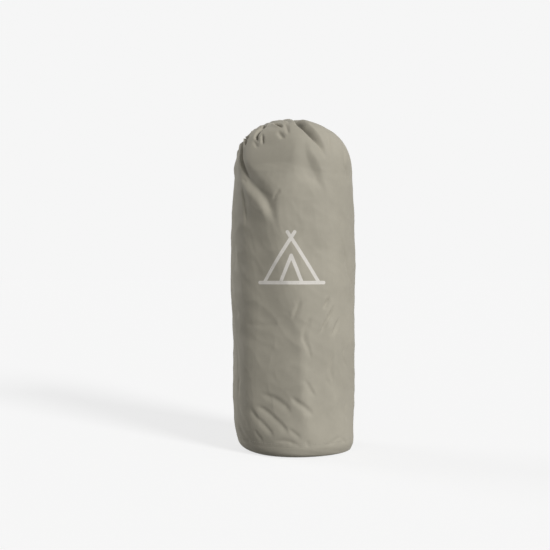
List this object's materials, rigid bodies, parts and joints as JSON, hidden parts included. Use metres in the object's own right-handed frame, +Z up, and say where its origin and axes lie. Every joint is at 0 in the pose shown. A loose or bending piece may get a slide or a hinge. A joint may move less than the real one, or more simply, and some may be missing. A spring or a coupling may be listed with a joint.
{
  "type": "camping tent",
  "caption": "Packed camping tent: an upright drawstring sack with a gathered mouth and a sprung cord lock, round the rolled tent body and rainfly, the folded poles and the pegs.",
  "frame": {"origin": "middle of the sack's base, on the surface it stands on", "axes": "+Z up along the sack, -Y to the front of the pictured view, +X to its right"},
  "size_m": [0.2558, 0.25, 0.6684],
  "materials": {
    "sack_cloth": "taupe coated nylon, slightly glossy",
    "tent_body_cloth": "light grey woven polyester, matt",
    "rainfly_cloth": "burnt orange coated polyester, slightly glossy",
    "bag_cloth": "dark grey nylon, matt",
    "drawcord": "black braided cord",
    "shock_cord": "dark elastic cord",
    "pole_tube": "anodised",
    "pole_tip": "black",
    "peg_metal": "drawn",
    "lock_plastic": "black",
    "spring_steel": "drawn wire"
  },
  "bodies": {
    "sack": {"sack_side_panel": "sack_cloth", "sack_base_panel": "sack_cloth", "mouth_casing": "sack_cloth", "drawcord": "drawcord", "drawcord_knot": "drawcord", "cord_lock_barrel": "lock_plastic", "cord_lock_spring": "spring_steel", "tent_body_roll": "tent_body_cloth", "rainfly_roll": "rainfly_cloth", "pole_bag": "bag_cloth", "main_pole_1_section_1": "pole_tube", "main_pole_1_section_2": "pole_tube", "main_pole_1_section_3": "pole_tube", "main_pole_1_section_4": "pole_tube", "main_pole_1_section_5": "pole_tube", "main_pole_1_section_6": "pole_tube", "main_pole_1_section_7": "pole_tube", "main_pole_1_tip_1": "pole_tip", "main_pole_1_tip_2": "pole_tip", "main_pole_1_shock_cord": "shock_cord", "main_pole_2_section_1": "pole_tube", "main_pole_2_section_2": "pole_tube", "main_pole_2_section_3": "pole_tube", "main_pole_2_section_4": "pole_tube", "main_pole_2_section_5": "pole_tube", "main_pole_2_section_6": "pole_tube", "main_pole_2_section_7": "pole_tube", "main_pole_2_tip_1": "pole_tip", "main_pole_2_tip_2": "pole_tip", "main_pole_2_shock_cord": "shock_cord", "brow_pole_section_1": "pole_tube", "brow_pole_section_2": "pole_tube", "brow_pole_section_3": "pole_tube", "brow_pole_section_4": "pole_tube", "brow_pole_section_5": "pole_tube", "brow_pole_tip_1": "pole_tip", "brow_pole_tip_2": "pole_tip", "brow_pole_shock_cord": "shock_cord", "peg_bag": "bag_cloth", "peg_1": "peg_metal", "peg_2": "peg_metal", "peg_3": "peg_metal", "peg_4": "peg_metal", "peg_5": "peg_metal", "peg_6": "peg_metal", "peg_7": "peg_metal", "peg_8": "peg_metal", "peg_9": "peg_metal", "peg_10": "peg_metal", "pole_repair_sleeve": "peg_metal"},
    "plunger": {"cord_lock_plunger": "lock_plastic"}
  },
  "joints": [
    {"name": "cord_lock_press", "type": "slide", "parent": "sack", "child": "plunger", "axis": [-1, 0, 0], "range_m": [0, 0.0035], "stiffness_N_per_m": 1000, "deforming": ["cord_lock_spring"]}
  ]
}
